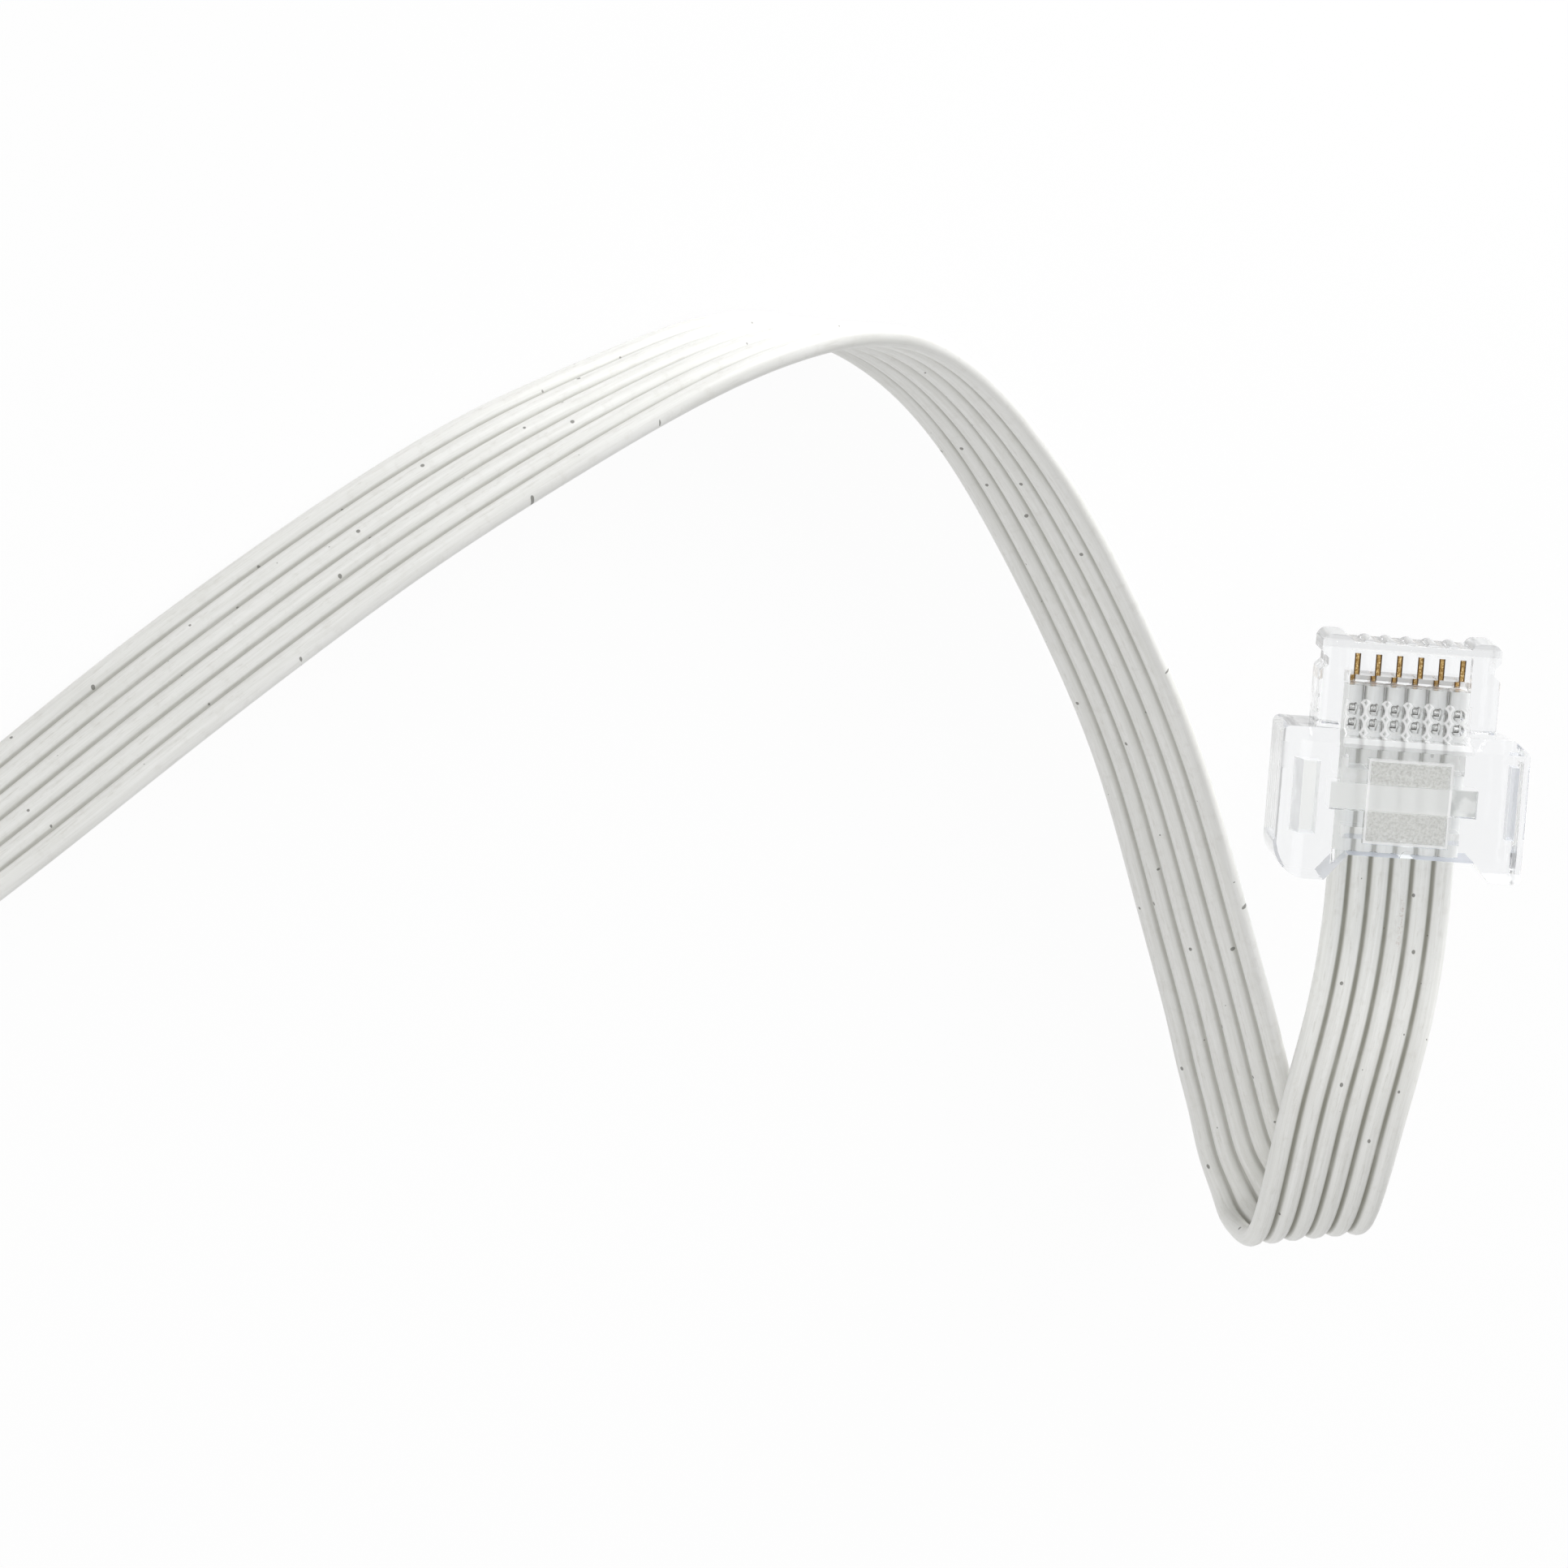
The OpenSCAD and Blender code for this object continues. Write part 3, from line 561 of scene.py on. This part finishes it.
# ---------------------------------------------------------------- materials
def ribbon_material(name, place=None):
    """Grey PVC with painted shade in its grooves, streaks of the extrusion, scuffs and specks of
    dust.

    With a plug's frame it is for the stretch inside that plug, which the plastic has kept clean of
    smudges; it is painted lighter, as if lit through the plastic, with painted shade under the deep
    sight slot.
    """
    m, t = material(name)
    solid = in_millimetres(t, place)
    if place is None:
        along, across = along_and_across(t)
    else:
        across, along, _ = split(t, solid)

    def stretched(per_mm_along, per_mm_across, layer):
        """A place for textures that run along the ribbon; each layer is another draw."""
        return xyz(t, product(t, along, per_mm_along), product(t, across, per_mm_across), layer)

    off_groove = from_nearest(t, across, PITCH)
    grooved = step(t, calc(t, "ABSOLUTE", across), *GROOVED_ACROSS, 1.0, 0.0)
    # the grooves show wide near the plug and narrow far from it
    reach = step(t, along, *GROOVES_NARROW_ALONG, *GROOVE_REACH)
    groove = product(t, step(t, off_groove, 0.05, reach, 1.0, 0.0), grooved)

    # the tone wanders along each rod, in streaks that are long and fine
    streak = noise(t, stretched(0.12, 5.0, 0.0), 1.0, 3.0, 0.6)
    fine = noise(t, stretched(0.5, 22.0, 4.0), 1.0, 2.0, 0.5)
    mottle = noise(t, solid, 1.4, 4.0, 0.65)
    colour = blend(t, step(t, streak, 0.3, 0.7), PVC_GREY, PVC_PALE)
    colour = blend(t, step(t, fine, 0.52, 0.75, 0.0, 0.28), colour, PVC_STREAK)
    colour = blend(t, step(t, mottle, 0.52, 0.72, 0.0, 0.22), colour, PVC_MOTTLE)
    # where the middle of a rod has rubbed on something
    crown = step(t, off_groove, 0.34, PITCH / 2)
    rub = noise(t, stretched(0.9, 6.0, 9.0), 1.0, 5.0, 0.75)
    rubbed = product(t, crown, step(t, rub, 0.5, 0.66, 0.0, 0.35))
    colour = blend(t, rubbed, colour, PVC_RUBBED)
    if place is None:
        # a brownish smudge near the plug
        smudge = product(t, between(t, along, *SMUDGE_ALONG, 0.8),
                         between(t, across, *SMUDGE_ACROSS, 0.12))
        patchy = step(t, noise(t, solid, 5.0, 5.0, 0.8), 0.5, 0.62, 0.0, 0.55)
        colour = blend(t, product(t, smudge, patchy), colour, PVC_SMUDGE)

    # painted shade in the grooves, deep near the plug
    deep = noise(t, stretched(0.4, 1.0, 2.0), 1.0, 3.0, 0.6)
    shade = step(t, along, *GROOVES_FADE_ALONG, *GROOVE_SHADE)
    dark = product(t, shade, step(t, deep, 0.2, 0.6, 0.8, 1.0), groove)
    colour = blend(t, dark, colour, PVC_GROOVE_SHADE)

    # specks: dots with a radius of up to a tenth of a millimetre, in about half of the cells
    cells = flat_cells(t, stretched(0.8, 1.0, 0.5), SPECK_CELLS)
    lot, _, _ = split(t, cells.outputs["Color"])
    radius = step(t, lot, SPECKLED_FROM, 1.0, *SPECK_RADIUS)
    off_speck = calc(t, "SUBTRACT", cells.outputs["Distance"], radius)
    speck = product(t, step(t, off_speck, -0.006, 0.004, 1.0, 0.0),
                    step(t, lot, SPECKLED_FROM, SPECKLED_FROM + 0.02, 0.0, 0.75))
    colour = blend(t, speck, colour, PVC_SPECK)

    if place is not None:
        # painted lighter, as if lit through the clear plastic, and painted shade under the deep
        # sight slot
        colour = blend(t, 0.45, colour, PVC_PAINTED_LIGHT)
        shaded = between(t, along, *UNDER_SIGHT_ALONG, 0.1)
        colour = blend(t, product(t, shaded, 0.25), colour, PVC_SHADED)

    height = total(t, product(t, fine, 0.6), product(t, rub, 0.4))
    surface(t, principled(t, Base_Color=colour, Roughness=0.37, IOR=1.5,
                          Normal=bumped(t, height, 0.25, 0.03)))
    return m


def clear_to_lamps(t, shader):
    """A plastic's surface that lets the lamps light what is in it."""
    path = t.nodes.new("ShaderNodeLightPath")
    lit = largest(t, path.outputs["Is Shadow Ray"], path.outputs["Is Diffuse Ray"])
    through = node(t, "ShaderNodeBsdfTransparent", Color=LAMPLIGHT_THROUGH)
    surface(t, mixed(t, lit, shader, through.outputs[0]))


def ways(place):
    """A plug's directions: across it, to its nose and to the contacts' side."""
    _, across, ahead = place
    return across, ahead, np.cross(across, ahead)


def off_way(t, x):
    """The distance across to the middle of the nearest conductor."""
    return from_nearest(t, total(t, x, PITCH / 2), PITCH)


def pits(t, x, y):
    """The distance to the nearest pit's axis, and 1 in the field that the pits take."""
    off_tine = from_nearest(t, calc(t, "SUBTRACT", y, TINE_Y), TINE_GAP)
    squares = (product(t, off, off) for off in (off_way(t, x), off_tine))
    field = product(t, between(t, y, *PITS_Y, 0.05), between(t, x, *PITS_X, 0.05))
    return calc(t, "SQRT", total(t, *squares)), field


def matte_haze_and_painted_light(t, place, at, haze, scuff):
    """Where a housing is drawn matte, mostly with painted light and shade: each mask with its tone
    and its share of the matte shader.
    """
    x, y, z = at
    across, ahead, through = ways(place)

    def square_to(way):
        return step(t, facing(t, way), 0.85, 0.95)

    def slanting_to(way, low):
        return between(t, facing(t, way), low, 0.85, 0.05)

    upright = step(t, facing(t, through), 0.2, 0.5, 1.0, 0.0)

    # the rear edge between the skirts, the gate's notch in it, a skirt's end and the mouth's slope
    lip = product(t, between(t, y, *LIP_Y, 0.02), square_to(ahead), between(t, x, *LIP_X, 0.1))
    gate = product(t, lip, between(t, x, *GATE_NOTCH_X, 0.05))
    skirt_end = product(t, step(t, x, *SKIRT_X), upright, step(t, y, *SKIRT_END_Y, 1.0, 0.0))
    sloping = product(t, slanting_to(across, 0.55), between(t, x, *MOUTH_SLOPE_X, 0.1),
                      step(t, y, *MOUTH_SLOPE_Y, 1.0, 0.0), slanting_to(ahead, 0.5))
    # the wings: one with the slot and its outer side, the other with the pocket
    at_slot = product(t, between(t, x, *SLOT_HOLLOW_X, 0.02), between(t, y, *SLOT_HOLLOW_Y, 0.05))
    slot_hollow = product(t, at_slot, between(t, z, *SLOT_HOLLOW_Z, 0.1))
    slot_edge = product(t, at_slot, between(t, x, *SLOT_EDGE_X, 0.01), step(t, z, *SLOT_EDGE_Z))
    side_wall = product(t, step(t, x, *SIDE_X), upright, step(t, y, *SIDE_FADES_Y, 1.0, 0.6))
    pocket_floor = product(t, square_to(through), between(t, x, *POCKET_FLOOR_X, 0.1),
                           between(t, z, *POCKET_FLOOR_Z, 0.02))
    pocket_wall = product(t, between(t, x, *POCKET_WALL_X, 0.05),
                          between(t, y, *POCKET_WALL_Y, 0.05), step(t, z, *POCKET_WALL_Z), upright)
    # the face: the bridge between the sight slot and the recess, the haze and the pits' rims
    bridge = product(t, between(t, y, *BRIDGE_Y, 0.03), between(t, x, *BRIDGE_X, 0.2),
                     step(t, z, *BRIDGE_Z))
    clouded = product(t, haze, step(t, z, *CLOUD_Z), step(t, scuff, 0.35, 0.65, 0.5, 1.0))
    from_axis, field = pits(t, x, y)
    pit_rim = product(t, between(t, from_axis, *PIT_RIM_R, 0.03), step(t, z, *PIT_RIM_Z), field)
    # the tip with its ribs, and the window with the well under the contacts' heads
    ribs = step(t, y, *RIBS_Y)
    over_tip = product(t, between(t, y, *TIP_BAR_Y, 0.05), step(t, z, *TIP_BAR_Z))
    over_window = between(t, x, *WINDOW_X, 0.02)
    window_edge = product(t, over_window, between(t, y, *WINDOW_EDGE_Y, 0.02),
                          step(t, z, *WINDOW_EDGE_Z))
    well = product(t, over_window, between(t, y, *WELL_Y, 0.03), step(t, z, *WELL_Z, 1.0, 0.0))
    over_blade = product(t, well, step(t, off_way(t, x), 0.15, 0.3, 1.0, 0.0))
    return [
        # painted shade: a dark bluish tone on the rear edge
        (lip, (0.42, 0.44, 0.49, 1), 0.85),
        # painted highlight in the gate's notch
        (gate, (0.95, 0.95, 0.95, 1), 0.9),
        # painted shade in the slot's hollow; painted highlight on its edge
        (slot_hollow, (0.62, 0.64, 0.69, 1), 0.5),
        (slot_edge, WHITE, 0.8),
        # painted light: white on the side wall and on the skirt's end
        (side_wall, WHITE, 0.4),
        (skirt_end, WHITE, 0.4),
        # painted shade: a dark bluish tone on the mouth's slope
        (sloping, (0.45, 0.47, 0.52, 1), 0.6),
        # painted light: near white in the pocket and on the bridge
        (pocket_floor, (0.97, 0.97, 0.95, 1), 0.8),
        (pocket_wall, (0.93, 0.935, 0.95, 1), 0.6),
        (bridge, (0.85, 0.855, 0.86, 1), 0.4),
        (clouded, (0.80, 0.805, 0.78, 1), 0.5),
        # painted shade: grey on the ribs and over the tip
        (ribs, (0.55, 0.555, 0.56, 1), 0.45),
        (over_tip, (0.74, 0.75, 0.76, 1), 0.35),
        # painted highlight on the window's edge; painted shade in the well
        (window_edge, WHITE, 0.8),
        (well, (0.78, 0.78, 0.765, 1), 0.4),
        # painted reflection: the gold's brown over the blades
        (over_blade, (0.66, 0.56, 0.44, 1), 0.5),
        # painted highlight on the pits' rims
        (pit_rim, (0.98, 0.98, 0.98, 1), 0.7),
    ]


def unseen_places(t, place, at):
    """Where a housing's walls don't show: in its passage, since it is tight on the conductors,
    and mostly in its pits."""
    x, y, z = at
    _, _, through = ways(place)
    passage = product(t, between(t, x, *PASSAGE_X, 0.02), between(t, z, *PASSAGE_Z, 0.02),
                      between(t, y, *PASSAGE_Y, 0.01))
    from_axis, field = pits(t, x, y)
    pit_wall = product(t, between(t, from_axis, *PIT_WALL_R, 0.02), field,
                       step(t, facing(t, through), 0.96, 0.99, 0.9, 0.0))
    return largest(t, passage, pit_wall)


def clear_material(name, place):
    """Clear polycarbonate: waves of the moulding, small scuffs, a sparkly tip, and matte places,
    most of them with painted light and shade.
    """
    m, t = material(name)
    solid = in_millimetres(t, place)
    at = tuple(split(t, solid))
    x, y, _ = at
    wave = noise(t, solid, 0.5, 2.0)
    scuff = noise(t, solid, 3.0, 4.0, 0.7)
    grain = noise(t, solid, 9.0, 2.0, 0.6)

    # the plastic is rougher at the nose's tip and in a haze beside the pad
    tip = between(t, y, *TIP_HAZE_Y, 0.05)
    haze = product(t, between(t, x, *HAZE_X, 0.1), between(t, y, *HAZE_Y, 0.1))
    rough = total(t, step(t, scuff, 0.5, 0.8, 0.01, 0.12), product(t, tip, 0.2),
                  product(t, haze, 0.3))
    height = total(t, product(t, wave, 1.2), product(t, scuff, 0.1),
                   product(t, grain, largest(t, tip, haze), 0.8))
    clear = principled(t, Base_Color=CLEAR_PLASTIC, IOR=1.5, Transmission_Weight=1.0,
                       Roughness=rough, Normal=bumped(t, height, 0.3, 0.06))

    tone = MATTE_PLASTIC
    share = 0.0
    for mask, its_tone, its_share in matte_haze_and_painted_light(t, place, at, haze, scuff):
        tone = blend(t, mask, tone, its_tone)
        share = largest(t, share, product(t, mask, its_share))
    matte = principled(t, Base_Color=tone, Roughness=0.4, IOR=1.5)

    unseen = t.nodes.new("ShaderNodeBsdfTransparent").outputs[0]
    plastic = mixed(t, share, clear, matte)
    clear_to_lamps(t, mixed(t, unseen_places(t, place, at), plastic, unseen))
    return m


def clamp_material(name, place):
    """The strain relief: grainy over the pad, and milky over the bar, where it is thick, with
    painted shade on the bar beside the pad.
    """
    m, t = material(name)
    solid = in_millimetres(t, place)
    x, y, z = split(t, solid)
    grain = noise(t, solid, 6.0, 3.0, 0.6)
    cloud = noise(t, solid, 1.1, 2.0, 0.5)
    spots = step(t, grain, 0.35, 0.7)

    # the pad is grainy within a plain margin, and not over the bar
    inner = PAD_W / 2 - PAD_MARGIN
    middle_y = PAD_Y + PAD_W / 2
    on_pad = product(t, between(t, x, PAD_X - inner, PAD_X + inner, 0.02),
                     between(t, y, middle_y - inner, middle_y + inner, 0.02))
    band = between(t, y, BAR_Y, BAR_Y + BAR_L, 0.1)
    coarse = product(t, on_pad, step(t, band, 0.0, 1.0, 1.0, 0.0))
    pad_or_bar = largest(t, on_pad, band)
    beside = step(t, x, PAD_X + PAD_W / 2 - 0.1, PAD_X + PAD_W / 2 + 0.1)
    rim = step(t, z, PAD_Z + 0.02, PAD_Z + 0.05)

    colour = blend(t, product(t, coarse, spots), CLAMP_GRAIN, CLAMP_SPOTS)
    colour = blend(t, band, colour, CLAMP_MILKY)
    colour = blend(t, pad_or_bar, CLAMP_CLEAR, colour)
    # painted shade, in wavy clouds, on the bar beside the pad
    shade_beside_pad = product(t, beside, band, step(t, cloud, 0.4, 0.6))
    colour = blend(t, shade_beside_pad, colour, CLAMP_SHADED)
    colour = blend(t, rim, colour, CLAMP_RIM)
    clearness = 0.95
    milky = product(t, band, step(t, beside, 0.0, 1.0, 0.5, 0.15))
    for loss in (milky, product(t, coarse, 0.45), product(t, rim, 0.55)):
        clearness = calc(t, "SUBTRACT", clearness, loss)
    height = product(t, grain, total(t, coarse, 0.08), step(t, cloud, 0.3, 0.7, 0.5, 1.2))
    rough = step(t, largest(t, coarse, band), 0.0, 1.0, 0.1, 0.38)
    clear_to_lamps(t, principled(t, Base_Color=colour, IOR=1.5, Transmission_Weight=clearness,
                                 Roughness=rough, Normal=bumped(t, height, 0.9, 0.09)))
    return m


def contact_material(name, place):
    """Gold over the contact's head, with painted shade in blotches and at its edges, and bare
    nickel at its tines.
    """
    m, t = material(name)
    solid = in_millimetres(t, place)
    x, y, _ = split(t, solid)
    blotches = noise(t, solid, 5.0, 4.0, 0.7)
    spots = noise(t, solid, 9.0, 3.0, 0.6)
    # painted shade: the gold is darker in blotches
    gold = blend(t, step(t, blotches, 0.35, 0.65), GOLD_SHADED, GOLD)
    gold = blend(t, step(t, spots, 0.55, 0.66), gold, GOLD_BRIGHT)
    # painted shade at the blade's edges, wobbled by the blotches
    off_middle = total(t, off_way(t, x), product(t, blotches, 0.06))
    edge = step(t, off_middle, BLADE_T / 2 - 0.04, BLADE_T / 2)
    gold = blend(t, edge, gold, GOLD_SHADED_EDGE)
    nickel = blend(t, step(t, spots, 0.4, 0.6), NICKEL_DULL, NICKEL)
    plated = step(t, total(t, y, product(t, blotches, 0.5)), *PLATED_Y)
    surface(t, principled(t, Base_Color=blend(t, plated, nickel, gold),
                          Metallic=step(t, plated, 0.0, 1.0, 0.55, 1.0),
                          Roughness=step(t, spots, 0.3, 0.7, 0.22, 0.45),
                          Normal=bumped(t, spots, 0.5, 0.02)))
    return m


def copper_material():
    """Tinsel strands, twisted along the core."""
    m, t = material("copper_strand")
    solid = in_millimetres(t)
    blotches = noise(t, solid, 8.0, 3.0, 0.6)
    strands = noise(t, solid, 14.0, 1.0, 0.4, 2.0)
    colour = blend(t, step(t, blotches, 0.35, 0.65), COPPER_DARK, COPPER)
    surface(t, principled(t, Base_Color=colour, Metallic=1.0, Roughness=0.35,
                          Normal=bumped(t, strands, 0.6, 0.04)))
    return m


# ---------------------------------------------------------------- stage
def seen_as_background(t):
    """The light path, and 1 for its camera, glossy and transmission rays."""
    path = t.nodes.new("ShaderNodeLightPath")
    rays = ("Is Camera Ray", "Is Glossy Ray", "Is Transmission Ray")
    return path, largest(t, *(path.outputs[ray] for ray in rays))


def add_world():
    """An even soft light. The camera sees it white; in metal and glass it is darker overhead and
    at the horizon."""
    world = bpy.data.worlds.new("world")
    bpy.context.scene.world = world
    world.use_nodes = True
    t = world.node_tree
    t.nodes.clear()
    path, is_seen = seen_as_background(t)
    way = t.nodes.new("ShaderNodeTexCoord")
    _, _, height = split(t, way.outputs["Generated"])
    ceiling = step(t, height, *CEILING_HEIGHT, 1.0, CEILING)
    horizon = step(t, calc(t, "ABSOLUTE", height), *HORIZON_HEIGHT, HORIZON, 1.0)
    shade = largest(t, product(t, ceiling, horizon), path.outputs["Is Camera Ray"])
    light = node(t, "ShaderNodeBackground", Color=WHITE, Strength=WORLD_LIGHT)
    seen = node(t, "ShaderNodeBackground", Color=WHITE, Strength=shade)
    surface(t, mixed(t, is_seen, light.outputs[0], seen.outputs[0]), "ShaderNodeOutputWorld")


def add_floor():
    """A white sheet that takes shadows and nearly vanishes in the white of the world."""
    corners = [(x * FLOOR_HALF, y * FLOOR_HALF, FLOOR_Z)
               for x, y in ((-1, -1), (1, -1), (1, 1), (-1, 1))]
    mesh = bpy.data.meshes.new("floor")
    mesh.from_pydata(corners, [], [(0, 1, 2, 3)])
    floor = bpy.data.objects.new("floor", mesh)
    bpy.context.scene.collection.objects.link(floor)
    m, t = material("floor")
    diffuse = node(t, "ShaderNodeBsdfDiffuse", Color=FLOOR_COLOUR)
    glow = node(t, "ShaderNodeEmission", Color=WHITE, Strength=1.0)
    _, is_seen = seen_as_background(t)
    surface(t, mixed(t, product(t, is_seen, FLOOR_GLOW), diffuse.outputs[0], glow.outputs[0]))
    mesh.materials.append(m)


def add_light(name, place, side, power):
    """A square lamp that the camera doesn't see."""
    data = bpy.data.lights.new(name, "AREA")
    data.shape = "SQUARE"
    data.size = side
    data.energy = power
    lamp = bpy.data.objects.new(name, data)
    lamp.visible_camera = False
    place = Vector(place)
    lamp.location = place
    lamp.rotation_euler = (Vector(LIGHTS_AIM) - place).to_track_quat("-Z", "Y").to_euler()
    bpy.context.scene.collection.objects.link(lamp)


# ---------------------------------------------------------------- build
def soften(housing):
    """Rounds the housing's edges a little, as a mould does."""
    bevel = housing.modifiers.new("soft_edges", "BEVEL")
    bevel.width = EDGE_ROUNDING * MM
    bevel.segments = EDGE_SEGMENTS
    bevel.limit_method = "ANGLE"
    bevel.angle_limit = math.radians(ROUNDED_FROM)


def dress_plug(side, place, copper):
    """Gives one plug's pieces their materials, and rounds its housing's edges."""
    clear = clear_material(side + "_clear_plastic", place)
    frosted = clamp_material(side + "_frosted_plastic", place)
    plated = contact_material(side + "_plating", place)
    pvc = ribbon_material(side + "_pvc", place)
    kinds = {
        "housing": (clear, "clear_plastic"),
        "clamp": (frosted, "clear_plastic"),
        "ribbon_end": (pvc, "insulation"),
        "contact": (plated, "gold"),
        "core": (copper, "copper"),
    }
    for name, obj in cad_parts.items():
        for kind, (look, slot) in kinds.items():
            if name.startswith(side + "_" + kind):
                obj.data.materials.clear()
                obj.data.materials.append(look)
    soften(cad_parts[side + "_housing"])


scene = bpy.context.scene
scene.view_settings.view_transform = "Standard"
# light passes many walls on its way through a plug
scene.cycles.transparent_max_bounces = 32
scene.cycles.transmission_bounces = 24
scene.cycles.max_bounces = 24
add_camera()

p, w, s, t = whole_route()
ribbon = ribbon_mesh("ribbon", p, w, s, rod_outline())
ribbon.data.materials.append(ribbon_material("ribbon_pvc"))
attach(ribbon, "root")
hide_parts("cable_run", "cable_coil", "cable_tail")

copper = copper_material()
# each plug's frame: its origin, the way across it and the way to its nose
dress_plug("near", (p[0], w[0], -t[0]), copper)
dress_plug("far", (p[-1], w[-1], t[-1]), copper)

add_world()
add_floor()
for name, (place, side, power) in LIGHTS.items():
    add_light(name, place, side, power)
